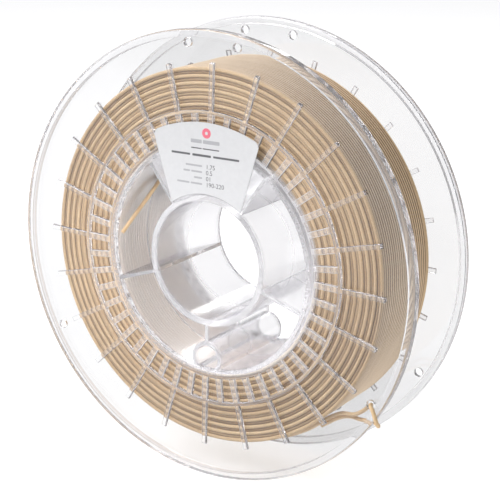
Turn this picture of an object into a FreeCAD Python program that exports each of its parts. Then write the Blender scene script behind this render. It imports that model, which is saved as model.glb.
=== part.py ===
import FreeCAD, Part
import math
import os

import Sketcher

# A clear filament spool, 200 mm across, moulded as two matching halves that
# meet halfway along the hub, with half a kilogram of 1.75 mm wood filament on it.
#
# Frame: the origin is the centre of the bore, halfway across the width.
# +Y runs along the axis from the labelled face to the rear face, +Z is up,
# and +X is to the right for someone who reads the label.
# Angles are measured about the axis from +X towards +Z.

SIZES = (
    # alias, value in mm or degrees, what it is
    ("flange_dia", 200.0, "outside of both flanges"),
    ("overall_width", 52.0, "from rim face to rim face"),
    ("rim_width", 3.2, "radial width of the bead around a flange"),
    ("rim_depth", 4.6, "axial thickness of the bead"),
    ("rim_round", 0.9, "rounding of the bead's outer edges"),
    ("plate_thick", 1.8, "wall of a flange"),
    ("core_inset", 0.4, "how far hub, drum and webs stop short of the rim face"),
    ("collar_inset", 1.1, "how far collar, step ring and short ribs stop short"),
    ("bore_dia", 53.0, "hole for the spindle"),
    ("hub_wall", 2.7, "wall of the hub tube"),
    ("bore_chamfer", 0.6, "lead-in at the mouth of the bore"),
    ("drum_dia", 103.2, "outside of the drum that the filament is wound on"),
    ("drum_wall", 2.0, "wall of the drum"),
    ("collar_dia", 107.2, "outside of the collar around the drum"),
    ("step_inner_dia", 128.8, "inside of the step ring on a flange"),
    ("step_wall", 1.4, "wall of the step ring"),
    ("short_rib_count", 48, "ribs between collar and step ring"),
    ("short_rib_width", 2.8, "width of a short rib"),
    ("long_rib_count", 24, "ribs outside the step ring"),
    ("long_rib_width", 2.0, "width of a long rib"),
    ("long_rib_rise", 1.8, "how far a long rib stands off the plate"),
    ("long_rib_end_dia", 172.8, "circle on which the long ribs end"),
    ("rib_start_angle", 13.4, "angle of the first rib"),
    ("rim_hole_dia", 4.0, "holes that hold the filament's end"),
    ("rim_hole_circle", 188.4, "circle of those holes"),
    ("web_thick", 1.6, "radial webs between hub and drum"),
    ("web_start_angle", 54.0, "angle of the first web"),
    ("boss_circle", 88.8, "circle of the round boss"),
    ("boss_dia", 15.2, "outside of the boss"),
    ("boss_wall", 1.8, "wall of the boss"),
    ("shelf_thick", 1.0, "clear shelf behind the label"),
    ("label_thick", 0.25, "paper label"),
    ("label_outer_dia", 122.0, "outer arc of the label"),
    ("label_inner_dia", 60.0, "inner arc of the label"),
    ("label_side_angle", 17.0, "lean of the label's sides from the vertical"),
    ("label_foot", 17.6, "half width of the label where its side meets the inner arc"),
    ("label_corner", 3.0, "rounding of the label's upper corners"),
    ("strand_dia", 1.75, "the filament"),
    ("winding_dia", 167.2, "outside of the winding"),
    ("winding_width", 42.0, "24 turns side by side"),
    ("slot_length", 11.5, "slot in the drum for the filament's inner end"),
    ("slot_width", 5.2, "width of that slot along the axis"),
    ("slot_angle", 141.0, "angle of that slot"),
)

# Where each rim hole stands, in degrees: a pair at the top, one on each side below.
RIM_HOLE_ANGLES = (81.5, 96.5, 208.5, 328.4)

SECTOR = 72.0
ALONG_AXIS = FreeCAD.Rotation(FreeCAD.Vector(1, 0, 0), -90)

doc = FreeCAD.newDocument("filament_spool")


def make_sheet():
    """The driving sizes, each in a cell with an alias."""
    sheet = doc.addObject("Spreadsheet::Sheet", "Sizes")
    for row, (alias, value, note) in enumerate(SIZES, start=1):
        sheet.set("A%d" % row, alias)
        sheet.set("B%d" % row, str(value))
        sheet.set("C%d" % row, note)
        sheet.setAlias("B%d" % row, alias)
    doc.recompute()
    return sheet


sizes = make_sheet()


def size(alias):
    """A size as a number, for shapes that are made without a sketch."""
    return float(sizes.get(alias))


def new_sketch(body, role, name):
    """A sketch on one of the body's own origin planes."""
    plane = [f for f in body.Origin.OriginFeatures if f.Role == role][0]
    sketch = body.newObject("Sketcher::SketchObject", name)
    sketch.AttachmentSupport = [(plane, "")]
    sketch.MapMode = "FlatFace"
    return sketch


def pin(sketch, edge, end, name, across, up):
    """Fix one end of an edge by two expressions, measured from the origin."""
    for kind, text, axis in (("DistanceX", across, -2), ("DistanceY", up, -1)):
        if text == "0":
            sketch.addConstraint(Sketcher.Constraint("PointOnObject", edge, end, axis))
            continue
        number = sketch.addConstraint(Sketcher.Constraint(kind, -1, 1, edge, end, 1.0))
        label = name + kind[-1]
        sketch.renameConstraint(number, label)
        sketch.setExpression("Constraints." + label, text)


def outline(sketch, corners):
    """A closed outline whose corners are pairs of expressions."""
    count = len(corners)
    spread = [2 * math.pi * i / count for i in range(count + 1)]
    places = [FreeCAD.Vector(60 + 9 * math.cos(a), 9 * math.sin(a), 0) for a in spread]
    for start, stop in zip(places, places[1:]):
        sketch.addGeometry(Part.LineSegment(start, stop), False)
    for edge in range(count):
        sketch.addConstraint(Sketcher.Constraint("Coincident", edge, 2, (edge + 1) % count, 1))
    for edge, (across, up) in enumerate(corners):
        pin(sketch, edge, 1, "corner%d" % edge, across, up)


def turned_body(label, corners):
    """A body of revolution about the spool's axis, from corners (radius, y)."""
    body = doc.addObject("PartDesign::Body", label)
    sketch = new_sketch(body, "XY_Plane", label + "_section")
    outline(sketch, corners)
    turn = body.newObject("PartDesign::Revolution", label + "_turn")
    turn.Profile = sketch
    turn.ReferenceAxis = (sketch, ["V_Axis"])
    turn.Angle = 360.0
    sketch.Visibility = False
    doc.recompute()
    return body


RIM_FACE = "-Sizes.overall_width / 2"
CORE_FACE = "-Sizes.overall_width / 2 + Sizes.core_inset"
COLLAR_FACE = "-Sizes.overall_width / 2 + Sizes.collar_inset"
PLATE_INSIDE = "-Sizes.overall_width / 2 + Sizes.rim_depth"
PLATE_OUTSIDE = PLATE_INSIDE + " - Sizes.plate_thick"


def rib_ring(body, name, inner, outer, width, rise, count):
    """Equal ribs standing on the plate, from one radius to another."""
    sketch = new_sketch(body, "XZ_Plane", name + "_plan")
    half = width + " / 2"
    outline(sketch, (
        (inner, "-" + half),
        (outer, "-" + half),
        (outer, half),
        (inner, half),
    ))
    plate_y = -size("overall_width") / 2 + size("rim_depth") - size("plate_thick")
    turn = FreeCAD.Rotation(FreeCAD.Vector(0, 0, 1), size("rib_start_angle"))
    sketch.AttachmentOffset = FreeCAD.Placement(FreeCAD.Vector(0, 0, -plate_y), turn)
    sketch.setExpression(
        "AttachmentOffset.Base.z",
        "Sizes.overall_width / 2 - Sizes.rim_depth + Sizes.plate_thick",
    )
    sketch.setExpression("AttachmentOffset.Rotation.Angle", "Sizes.rib_start_angle")
    pad = body.newObject("PartDesign::Pad", name + "_pad")
    pad.Profile = sketch
    pad.setExpression("Length", rise)
    sketch.Visibility = False
    doc.recompute()
    pattern = body.newObject("PartDesign::PolarPattern", name + "_pattern")
    pattern.Originals = [pad]
    axis = [f for f in body.Origin.OriginFeatures if f.Role == "Y_Axis"][0]
    pattern.Axis = (axis, [""])
    pattern.Angle = 360.0
    pattern.setExpression("Occurrences", count)
    body.Tip = pattern
    doc.recompute()


def drill_rim_holes(body):
    """Through holes near the rim for the filament's end."""
    sketch = new_sketch(body, "XZ_Plane", "rim_hole_plan")
    for number, angle in enumerate(RIM_HOLE_ANGLES):
        centre = FreeCAD.Vector(math.cos(math.radians(angle)), math.sin(math.radians(angle)), 0)
        circle = Part.Circle(centre * size("rim_hole_circle") / 2, FreeCAD.Vector(0, 0, 1), 2.0)
        edge = sketch.addGeometry(circle, False)
        across = "Sizes.rim_hole_circle / 2 * cos(%s)" % angle
        up = "Sizes.rim_hole_circle / 2 * sin(%s)" % angle
        pin(sketch, edge, 3, "hole%d" % number, across, up)
        wide = sketch.addConstraint(Sketcher.Constraint("Diameter", edge, 4.0))
        sketch.renameConstraint(wide, "wide%d" % number)
        sketch.setExpression("Constraints.wide%d" % number, "Sizes.rim_hole_dia")
    pocket = body.newObject("PartDesign::Pocket", "rim_holes")
    pocket.Profile = sketch
    pocket.Type = 1
    pocket.Reversed = True
    sketch.Visibility = False
    before = body.Shape.Volume
    doc.recompute()
    if not body.Shape.Volume < before:
        pocket.Reversed = False
        doc.recompute()


def round_rim(body):
    """Round both outer edges of the bead."""
    radius = size("flange_dia") / 2
    names = []
    for number, edge in enumerate(body.Shape.Edges, start=1):
        curve = edge.Curve
        if isinstance(curve, Part.Circle) and abs(curve.Radius - radius) < 0.01:
            names.append("Edge%d" % number)
    turned = body.Tip
    fillet = body.newObject("PartDesign::Fillet", "rim_rounding")
    fillet.Base = (turned, names)
    fillet.setExpression("Radius", "Sizes.rim_round")
    body.Tip = fillet
    doc.recompute()


def make_flange():
    """The flange: plate, bead, collar, step ring, ribs and holes."""
    collar_rise = "Sizes.rim_depth - Sizes.plate_thick - Sizes.collar_inset"
    body = turned_body("front_flange", (
        ("Sizes.drum_dia / 2", PLATE_INSIDE),
        ("Sizes.flange_dia / 2", PLATE_INSIDE),
        ("Sizes.flange_dia / 2", RIM_FACE),
        ("Sizes.flange_dia / 2 - Sizes.rim_width", RIM_FACE),
        ("Sizes.flange_dia / 2 - Sizes.rim_width", PLATE_OUTSIDE),
        ("Sizes.step_inner_dia / 2 + Sizes.step_wall", PLATE_OUTSIDE),
        ("Sizes.step_inner_dia / 2 + Sizes.step_wall", COLLAR_FACE),
        ("Sizes.step_inner_dia / 2", COLLAR_FACE),
        ("Sizes.step_inner_dia / 2", PLATE_OUTSIDE),
        ("Sizes.collar_dia / 2", PLATE_OUTSIDE),
        ("Sizes.collar_dia / 2", COLLAR_FACE),
        ("Sizes.drum_dia / 2", COLLAR_FACE),
    ))
    round_rim(body)
    drill_rim_holes(body)
    rib_ring(
        body, "long_ribs",
        "Sizes.step_inner_dia / 2 + Sizes.step_wall / 2", "Sizes.long_rib_end_dia / 2",
        "Sizes.long_rib_width", "Sizes.long_rib_rise", "Sizes.long_rib_count",
    )
    rib_ring(
        body, "short_ribs",
        "Sizes.collar_dia / 2 - 1", "Sizes.step_inner_dia / 2 + Sizes.step_wall / 2",
        "Sizes.short_rib_width", collar_rise, "Sizes.short_rib_count",
    )
    return body


def make_hub():
    """Half of the hub tube, with a lead-in at the mouth of the bore."""
    return turned_body("front_hub", (
        ("Sizes.bore_dia / 2", "0"),
        ("Sizes.bore_dia / 2", CORE_FACE + " + Sizes.bore_chamfer"),
        ("Sizes.bore_dia / 2 + Sizes.bore_chamfer", CORE_FACE),
        ("Sizes.bore_dia / 2 + Sizes.hub_wall", CORE_FACE),
        ("Sizes.bore_dia / 2 + Sizes.hub_wall", "0"),
    ))


def cylinder(name, radius, length, start):
    """A cylinder along the spool's axis that starts at a given y."""
    part = doc.addObject("Part::Cylinder", name)
    part.setExpression("Radius", radius)
    part.setExpression("Height", length)
    part.Placement = FreeCAD.Placement(FreeCAD.Vector(0, 0, 0), ALONG_AXIS)
    part.setExpression("Placement.Base.y", start)
    return part


def cut(name, base, tool):
    """One shape less another."""
    part = doc.addObject("Part::Cut", name)
    part.Base = base
    part.Tool = tool
    return part


def common(name, base, tool):
    """What two shapes share."""
    part = doc.addObject("Part::Common", name)
    part.Base = base
    part.Tool = tool
    return part


HALF_CORE = "Sizes.overall_width / 2 - Sizes.core_inset"


def make_drum():
    """Half of the drum, with its half of the slot at the joint."""
    outside = cylinder("drum_outside", "Sizes.drum_dia / 2", HALF_CORE, CORE_FACE)
    inside = cylinder("drum_inside", "Sizes.drum_dia / 2 - Sizes.drum_wall", HALF_CORE, CORE_FACE)
    tube = cut("drum_tube", outside, inside)
    slot = doc.addObject("Part::Box", "drum_slot")
    slot.setExpression("Length", "Sizes.drum_dia / 4")
    slot.setExpression("Width", "Sizes.slot_width")
    slot.setExpression("Height", "Sizes.slot_length")
    place_radially(slot, size("slot_angle"), size("drum_dia") / 2 - 8, -size("slot_width") / 2,
                   size("slot_length"))
    return cut("front_drum", tube, slot)


def place_radially(box, angle, radius, y, height):
    """Lay a box along a radius, centred on it, starting at a given radius."""
    turn = FreeCAD.Rotation(FreeCAD.Vector(0, 1, 0), -angle)
    corner = FreeCAD.Vector(radius, y, -height / 2)
    box.Placement = FreeCAD.Placement(turn.multVec(corner), turn)


def web_blank(name, angle):
    """A flat web along one radius, longer than the gap it will fill."""
    web = doc.addObject("Part::Box", name)
    web.setExpression("Length", "Sizes.drum_dia / 2")
    web.setExpression("Width", HALF_CORE)
    web.setExpression("Height", "Sizes.web_thick")
    start = -size("overall_width") / 2 + size("core_inset")
    place_radially(web, angle, size("bore_dia") / 2, start, size("web_thick"))
    return web


def hub_core(name):
    """The hub as a solid bar, to trim what stands on it."""
    return cylinder(name, "Sizes.bore_dia / 2 + Sizes.hub_wall", "Sizes.overall_width", RIM_FACE)


def drum_core(name):
    """The space inside the drum as a solid, to trim what ends on its wall."""
    radius = "Sizes.drum_dia / 2 - Sizes.drum_wall"
    return cylinder(name, radius, "Sizes.overall_width", RIM_FACE)


def boss_cylinder(name, radius):
    """A cylinder on the boss's own axis, at the bottom of the drum."""
    part = cylinder(name, radius, HALF_CORE, CORE_FACE)
    part.setExpression("Placement.Base.z", "-Sizes.boss_circle / 2")
    return part


def make_boss():
    """The round boss that stands against the drum wall below the hub."""
    outside = boss_cylinder("boss_outside", "Sizes.boss_dia / 2")
    inside = boss_cylinder("boss_inside", "Sizes.boss_dia / 2 - Sizes.boss_wall")
    ring = cut("boss_ring", outside, inside)
    return common("front_boss", ring, drum_core("boss_trim"))


WEB_NAMES = ("upper_right", "upper_left", "left", "bottom", "right")


def make_webs():
    """Five webs from hub to drum; the bottom one ends on the boss."""
    webs = []
    for number, place in enumerate(WEB_NAMES):
        angle = size("web_start_angle") + number * SECTOR
        name = "web_" + place
        blank = web_blank(name + "_blank", angle)
        inside = common(name + "_inside", blank, drum_core(name + "_drum"))
        if place == "bottom":
            boss = boss_cylinder(name + "_boss", "Sizes.boss_dia / 2")
            above = cut(name + "_above_boss", inside, boss)
            below = cylinder(name + "_below", "Sizes.boss_circle / 2", HALF_CORE, CORE_FACE)
            inside = common(name + "_short", above, below)
        webs.append(cut("front_web_" + place, inside, hub_core(name + "_hub")))
    return webs


def make_label_shelf():
    """The clear fan-shaped shelf that fills the top sector behind the label."""
    radius = "Sizes.drum_dia / 2 - Sizes.drum_wall"
    fan = cylinder("shelf_fan", radius, "Sizes.shelf_thick", CORE_FACE)
    fan.Angle = SECTOR
    turn = FreeCAD.Rotation(FreeCAD.Vector(0, 1, 0), -(size("web_start_angle") + SECTOR))
    base = FreeCAD.Vector(0, -size("overall_width") / 2 + size("core_inset"), 0)
    fan.Placement = FreeCAD.Placement(base, turn.multiply(ALONG_AXIS))
    ring = cut("shelf_ring", fan, hub_core("shelf_hub"))
    for number in (0, 1):
        angle = size("web_start_angle") + number * SECTOR
        ring = cut("shelf_side_%d" % number, ring, web_blank("shelf_web_%d" % number, angle))
    ring.Label = "front_label_shelf"
    return ring


def make_label():
    """The paper label: a fan with straight sides and rounded upper corners."""
    body = doc.addObject("PartDesign::Body", "label")
    sketch = new_sketch(body, "XZ_Plane", "label_plan")
    outer = size("label_outer_dia") / 2
    inner = size("label_inner_dia") / 2
    foot = size("label_foot")
    lean = math.tan(math.radians(size("label_side_angle")))
    foot_up = math.sqrt(inner ** 2 - foot ** 2)
    # Where the leaning side meets the outer arc.
    shift = foot - lean * foot_up
    top_up = (math.sqrt(outer ** 2 * (1 + lean ** 2) - shift ** 2) - lean * shift) / (1 + lean ** 2)
    top = shift + lean * top_up
    normal = FreeCAD.Vector(0, 0, 1)
    centre = FreeCAD.Vector(0, 0, 0)
    wide = Part.Circle(centre, normal, outer)
    tight = Part.Circle(centre, normal, inner)
    top_angle = math.atan2(top_up, top)
    foot_angle = math.atan2(foot_up, foot)
    sketch.addGeometry(Part.ArcOfCircle(wide, top_angle, math.pi - top_angle), False)
    sketch.addGeometry(Part.LineSegment(
        FreeCAD.Vector(-top, top_up, 0), FreeCAD.Vector(-foot, foot_up, 0)), False)
    sketch.addGeometry(Part.ArcOfCircle(tight, foot_angle, math.pi - foot_angle), False)
    sketch.addGeometry(Part.LineSegment(
        FreeCAD.Vector(foot, foot_up, 0), FreeCAD.Vector(top, top_up, 0)), False)
    joins = ((0, 2, 1, 1), (1, 2, 2, 2), (2, 1, 3, 1), (3, 2, 0, 1))
    for join in joins:
        sketch.addConstraint(Sketcher.Constraint("Coincident", *join))
    for arc in (0, 2):
        sketch.addConstraint(Sketcher.Constraint("Coincident", arc, 3, -1, 1))
    driven = (
        ("outer_arc", Sketcher.Constraint("Radius", 0, outer), "Sizes.label_outer_dia / 2"),
        ("inner_arc", Sketcher.Constraint("Radius", 2, inner), "Sizes.label_inner_dia / 2"),
        ("half_foot", Sketcher.Constraint("DistanceX", -1, 1, 3, 1, foot), "Sizes.label_foot"),
        ("side_lean", Sketcher.Constraint("Angle", 3, math.atan2(1, lean)),
         "(90 - Sizes.label_side_angle) * 1 deg"),
    )
    for name, constraint, text in driven:
        number = sketch.addConstraint(constraint)
        sketch.renameConstraint(number, name)
        sketch.setExpression("Constraints." + name, text)
    sketch.addConstraint(Sketcher.Constraint("Horizontal", 1, 2, 3, 1))
    sketch.addConstraint(Sketcher.Constraint("Horizontal", 1, 1, 3, 2))
    sketch.setExpression("AttachmentOffset.Base.z", HALF_CORE)
    pad = body.newObject("PartDesign::Pad", "label_pad")
    pad.Profile = sketch
    pad.setExpression("Length", "Sizes.label_thick")
    sketch.Visibility = False
    doc.recompute()
    names = []
    for number, edge in enumerate(body.Shape.Edges, start=1):
        ends = [vertex.Point for vertex in edge.Vertexes]
        if len(ends) == 2 and (ends[0] - ends[1]).Length < 2 * size("label_thick"):
            if math.hypot(ends[0].x, ends[0].z) > outer - 1:
                names.append("Edge%d" % number)
    corners = body.newObject("PartDesign::Fillet", "label_corners")
    corners.Base = (pad, names)
    corners.setExpression("Radius", "Sizes.label_corner")
    body.Tip = corners
    doc.recompute()
    return body


def make_winding():
    """The wound filament as the ring it fills on the drum."""
    half = "Sizes.winding_width / 2"
    return turned_body("filament_winding", (
        ("Sizes.drum_dia / 2", "-" + half),
        ("Sizes.winding_dia / 2", "-" + half),
        ("Sizes.winding_dia / 2", half),
        ("Sizes.drum_dia / 2", half),
    ))


def polar(radius, angle, y):
    """A point by its radius and angle about the axis."""
    turn = math.radians(angle)
    return FreeCAD.Vector(radius * math.cos(turn), y, radius * math.sin(turn))


# The filament's outer end leaves the winding, goes out through a rim hole,
# over the bead, round the edge and back inside along itself.
OUTER_END_ROUTE = (
    polar(84.56, 304.2, -15.3),
    polar(84.56, 308.6, -15.8),
    polar(84.66, 313.0, -16.4),
    polar(86.6, 317.8, -16.8),
    polar(90.6, 320.2, -17.4),
    polar(92.4, 323.2, -18.0),
    polar(93.6, 326.9, -19.0),
    polar(94.2, 328.3, -22.2),
    polar(94.6, 329.5, -26.2),
    polar(97.6, 329.4, -28.0),
    polar(101.7, 327.4, -27.8),
    polar(102.6, 325.8, -24.3),
    polar(101.4, 324.6, -20.2),
    polar(97.2, 323.0, -18.0),
    polar(93.8, 320.0, -15.4),
    polar(90.2, 318.2, -14.2),
    polar(87.4, 315.0, -13.8),
    polar(86.3, 311.0, -13.6),
    polar(86.0, 307.4, -13.4),
)

# The inner end comes through the slot in the drum and lies across the core.
INNER_END_ROUTE = (
    polar(50.7, 137.5, 0.4),
    polar(50.2, 141.2, 0.1),
    polar(48.8, 145.6, -1.6),
    polar(47.6, 151.0, -4.8),
    polar(47.1, 158.0, -9.4),
    polar(47.2, 166.0, -15.4),
    polar(48.2, 174.4, -21.6),
)

BEND_SHARE = 0.45


def make_strand(label, route, diameter):
    """A plain round strand along straight runs joined by tangent arcs."""
    edges = []
    radii = []
    start = route[0]
    for before, corner, after in zip(route, route[1:], route[2:]):
        coming = (corner - before).normalize()
        going = (after - corner).normalize()
        shorter = min((corner - before).Length, (after - corner).Length)
        half_turn = coming.getAngle(going) / 2
        reach = BEND_SHARE * shorter
        radius = reach / math.tan(half_turn)
        radii.append(radius)
        inward = (going - coming).normalize()
        centre = corner + inward * (radius / math.cos(half_turn))
        first = corner - coming * reach
        last = corner + going * reach
        edges.append(Part.LineSegment(start, first).toShape())
        edges.append(Part.Arc(first, centre - inward * radius, last).toShape())
        start = last
    edges.append(Part.LineSegment(start, route[-1]).toShape())
    path = Part.Wire(edges)
    section = Part.Wire(Part.makeCircle(diameter / 2, route[0], (route[1] - route[0]).normalize()))
    strand = path.makePipeShell([section], True, True)
    feature = doc.addObject("Part::Feature", label)
    feature.Shape = strand
    feature.Placement = FreeCAD.Placement()
    expected = math.pi * diameter ** 2 / 4 * path.Length
    print("%s: length %.1f mm, volume %.3f of section times length" % (
        label, path.Length, strand.Volume / expected))
    print("  radii " + " ".join("%.1f" % radius for radius in radii))
    return feature


def mirror_to_rear(front):
    """The matching piece of the rear half."""
    rear = doc.addObject("Part::Mirroring", front.Name.replace("front", "rear"))
    rear.Source = front
    rear.Base = FreeCAD.Vector(0, 0, 0)
    rear.Normal = FreeCAD.Vector(0, 1, 0)
    rear.Label = front.Label.replace("front", "rear")
    return rear


def build_all():
    """Every piece that is written out."""
    halves = [make_flange(), make_hub(), make_drum(), make_boss()] + make_webs()
    doc.recompute()
    pieces = halves + [mirror_to_rear(piece) for piece in halves]
    pieces.append(make_label_shelf())
    pieces.append(make_label())
    pieces.append(make_winding())
    diameter = size("strand_dia")
    pieces.append(make_strand("filament_outer_end", OUTER_END_ROUTE, diameter))
    pieces.append(make_strand("filament_inner_end", INNER_END_ROUTE, diameter))
    doc.recompute()
    return pieces


def check(pieces):
    """Stop if any object failed or any piece has no sound shape."""
    for item in doc.Objects:
        if "Invalid" in item.State or "Error" in item.State:
            raise RuntimeError("failed: " + item.Name)
    for piece in pieces:
        if piece.Shape.isNull() or not piece.Shape.isValid() or not piece.Shape.Solids:
            raise RuntimeError("no sound shape: " + piece.Label)


def write(pieces):
    """One STEP file for each piece."""
    os.makedirs("parts", exist_ok=True)
    for piece in pieces:
        piece.Shape.exportStep("parts/%s.step" % piece.Label)
        print("%-26s %9.1f mm3, %d solid" % (
            piece.Label, piece.Shape.Volume, len(piece.Shape.Solids)))


made = build_all()
check(made)
write(made)
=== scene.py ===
# %% [markdown]
# # A clear filament spool, built around its CAD frame
#
# The real object is a spool for 3-D printing filament. Two clear plastic mouldings
# meet at mid width, a paper label is stuck on the front one, and one long strand of
# tan, wood-filled filament is wound between the flanges. The imported CAD model fixes
# every size. This file gives the same spool its looks.
#
# First the frame is loaded. Its parts are kept, so that sizes can be read from them.

# %% Load the frame
import math
import random

import bmesh
import bpy
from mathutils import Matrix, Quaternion, Vector


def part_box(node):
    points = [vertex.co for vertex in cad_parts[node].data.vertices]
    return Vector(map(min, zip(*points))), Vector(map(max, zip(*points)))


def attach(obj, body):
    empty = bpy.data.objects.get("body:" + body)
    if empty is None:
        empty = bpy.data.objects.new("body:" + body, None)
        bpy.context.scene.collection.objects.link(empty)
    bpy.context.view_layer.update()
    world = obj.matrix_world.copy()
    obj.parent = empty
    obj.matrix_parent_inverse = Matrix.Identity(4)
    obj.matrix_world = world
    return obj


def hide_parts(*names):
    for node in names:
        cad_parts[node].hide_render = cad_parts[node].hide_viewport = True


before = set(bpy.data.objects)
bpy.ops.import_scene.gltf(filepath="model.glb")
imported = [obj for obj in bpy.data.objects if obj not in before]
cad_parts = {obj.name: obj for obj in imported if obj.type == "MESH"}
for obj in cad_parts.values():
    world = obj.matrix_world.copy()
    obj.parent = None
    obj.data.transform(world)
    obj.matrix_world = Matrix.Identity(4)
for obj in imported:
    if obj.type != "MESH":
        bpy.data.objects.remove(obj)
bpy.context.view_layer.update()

MM = 0.001

# %% [markdown]
# The camera comes first. It stands in front of the spool, to its right and a little
# above, and it is far away with a long lens, so that the rims stay nearly round.
# The frame's origin is the centre of the bore, and the camera's place is given from
# there, with the direction it looks in and a slight roll.

# %% Camera
CAMERA_PLACE = Vector((0.3417, -0.5309, 0.1850))
CAMERA_AZIMUTH = math.radians(32.29)
CAMERA_FALL = math.radians(16.42)
CAMERA_ROLL = math.radians(0.29)

looking = Vector((
    -math.sin(CAMERA_AZIMUTH) * math.cos(CAMERA_FALL),
    math.cos(CAMERA_AZIMUTH) * math.cos(CAMERA_FALL),
    -math.sin(CAMERA_FALL),
))
turned = looking.to_track_quat("-Z", "Y") @ Quaternion((0, 0, 1), CAMERA_ROLL)
bpy.ops.object.camera_add(location=CAMERA_PLACE, rotation=turned.to_euler())
camera = bpy.context.object
camera.name = "camera"
camera.data.lens = 106.4
camera.data.sensor_width = 36.0
camera.data.clip_start = 0.01
bpy.context.scene.camera = camera
print("camera is %.3f m from the bore" % CAMERA_PLACE.length)

# %% [markdown]
# The filament's two loose ends are cords: a fixed length of stiff strand. The outer
# end leaves the top layer, runs across the channel, goes out through a hole in the
# front flange, folds tightly over the rim and comes back. The inner end comes
# through a slot in the drum and lies across the open core. Each is a smooth NURBS
# curve whose control points are the corners of the same route as in the CAD, given
# as radius, angle about the axis and place along it. A third route is the strand's
# last turn, which rises out of the top layer and ends where the outer end starts. It
# is laid with the other turns further on.

# %% Routes of the two loose ends
STRAND = 1.75 * MM


def polar(radius, angle, along):
    """A point from its radius, its angle about the bore and its place along it, in mm."""
    turn = math.radians(angle)
    return Vector((radius * math.cos(turn), along, radius * math.sin(turn))) * MM


OUTER_END = [
    polar(84.56, 304.2, -15.3), polar(84.56, 308.6, -15.8), polar(84.66, 313.0, -16.4),
    polar(86.6, 317.8, -16.8), polar(90.6, 320.2, -17.4), polar(92.4, 323.2, -18.0),
    polar(93.6, 326.9, -19.0), polar(94.2, 328.3, -22.2), polar(94.6, 329.5, -26.2),
    polar(97.6, 329.4, -28.0), polar(101.7, 327.4, -27.8), polar(102.6, 325.8, -24.3),
    polar(101.4, 324.6, -20.2), polar(97.2, 323.0, -18.0), polar(93.8, 320.0, -15.4),
    polar(90.2, 318.2, -14.2), polar(87.4, 315.0, -13.8), polar(86.3, 311.0, -13.6),
    polar(86.0, 307.4, -13.4),
]
LAST_TURN = [
    polar(82.0, 250.0, -13.9), polar(82.3, 260.0, -13.9), polar(82.8, 270.0, -13.9),
    polar(83.4, 279.0, -14.0), polar(84.1, 287.5, -14.1), polar(84.5, 295.0, -14.4),
    polar(84.56, 299.8, -14.8), polar(84.56, 304.2, -15.3),
]
INNER_END = [
    polar(50.7, 137.5, 0.4), polar(50.2, 141.2, 0.1), polar(48.8, 145.6, -1.6),
    polar(47.6, 151.0, -4.8), polar(47.1, 158.0, -9.4), polar(47.2, 166.0, -15.4),
    polar(48.2, 174.4, -21.6),
]


def strand_curve(name, route):
    """A round strand along one smooth curve, with the route's points to steer it."""
    line = bpy.data.curves.new(name, "CURVE")
    line.dimensions = "3D"
    line.bevel_depth = 1.0
    line.bevel_resolution = 4
    line.use_fill_caps = True
    line.resolution_u = 12
    spline = line.splines.new("NURBS")
    spline.points.add(len(route) - 1)
    for point, place in zip(spline.points, route):
        point.co = (*place, 1.0)
        point.radius = STRAND / 2
    spline.order_u = 3
    spline.use_endpoint_u = True
    piece = bpy.data.objects.new(name, line)
    bpy.context.collection.objects.link(piece)
    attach(piece, "root")
    return piece


outer_end = strand_curve("strand_outer_end", OUTER_END)
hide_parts("filament_outer_end")
inner_end = strand_curve("strand_inner_end", INNER_END)
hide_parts("filament_inner_end")
print("strand ends:", len(OUTER_END), "and", len(INNER_END), "points")

# %% [markdown]
# The main sizes are read from the CAD nodes. Wall thicknesses and rib sizes, which a
# box can't tell, are given in millimetres, the same as in the CAD.

# %% Sizes
RIM_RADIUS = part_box("front_flange")[1].x
RIM_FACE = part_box("front_flange")[0].y
PLATE_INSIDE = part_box("front_flange")[1].y
CORE_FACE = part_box("front_drum")[0].y
DRUM_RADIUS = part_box("front_drum")[1].x
HUB_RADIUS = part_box("front_hub")[1].x
WOUND_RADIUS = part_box("filament_winding")[1].x
WOUND_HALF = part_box("filament_winding")[1].y

RIM_WIDTH = 3.2 * MM
RIM_ROUND = 0.9 * MM
PLATE_OUTSIDE = PLATE_INSIDE - 1.8 * MM
COLLAR_FACE = RIM_FACE + 1.1 * MM
COLLAR_RADIUS = 53.6 * MM
STEP_INSIDE = 64.4 * MM
STEP_OUTSIDE = 65.8 * MM
DRUM_INSIDE = DRUM_RADIUS - 2.0 * MM
HUB_INSIDE = HUB_RADIUS - 2.7 * MM
PARTING_GAP = 0.03 * MM
EDGE_ROUND = 0.18 * MM
print("rim %.1f mm, drum %.1f mm, hub %.1f mm" % (
    RIM_RADIUS / MM, DRUM_RADIUS / MM, HUB_RADIUS / MM))

# %% [markdown]
# A few small helpers stand in for the hand: some deselect everything and pick a
# piece, or its vertices or edges by their place. One draws an outline by extruding a
# single point from corner to corner, and one turns that outline about an axis.

# %% Modelling helpers


def pick(piece):
    """Select one piece alone and make it the active one."""
    bpy.ops.object.select_all(action="DESELECT")
    piece.select_set(True)
    bpy.context.view_layer.objects.active = piece


def begin(name):
    """Name the new primitive, put its place in its mesh and open it for editing."""
    piece = bpy.context.object
    piece.name = name
    piece.data.name = name
    bpy.ops.object.transform_apply(location=True, rotation=True, scale=True)
    bpy.ops.object.mode_set(mode="EDIT")
    return piece


def finish_edit(piece):
    """Close any seam, turn the faces outwards and leave edit mode."""
    bpy.ops.mesh.select_all(action="SELECT")
    bpy.ops.mesh.remove_doubles(threshold=0.002 * MM)
    bpy.ops.mesh.normals_make_consistent(inside=False)
    bpy.ops.object.mode_set(mode="OBJECT")
    return piece


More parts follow.
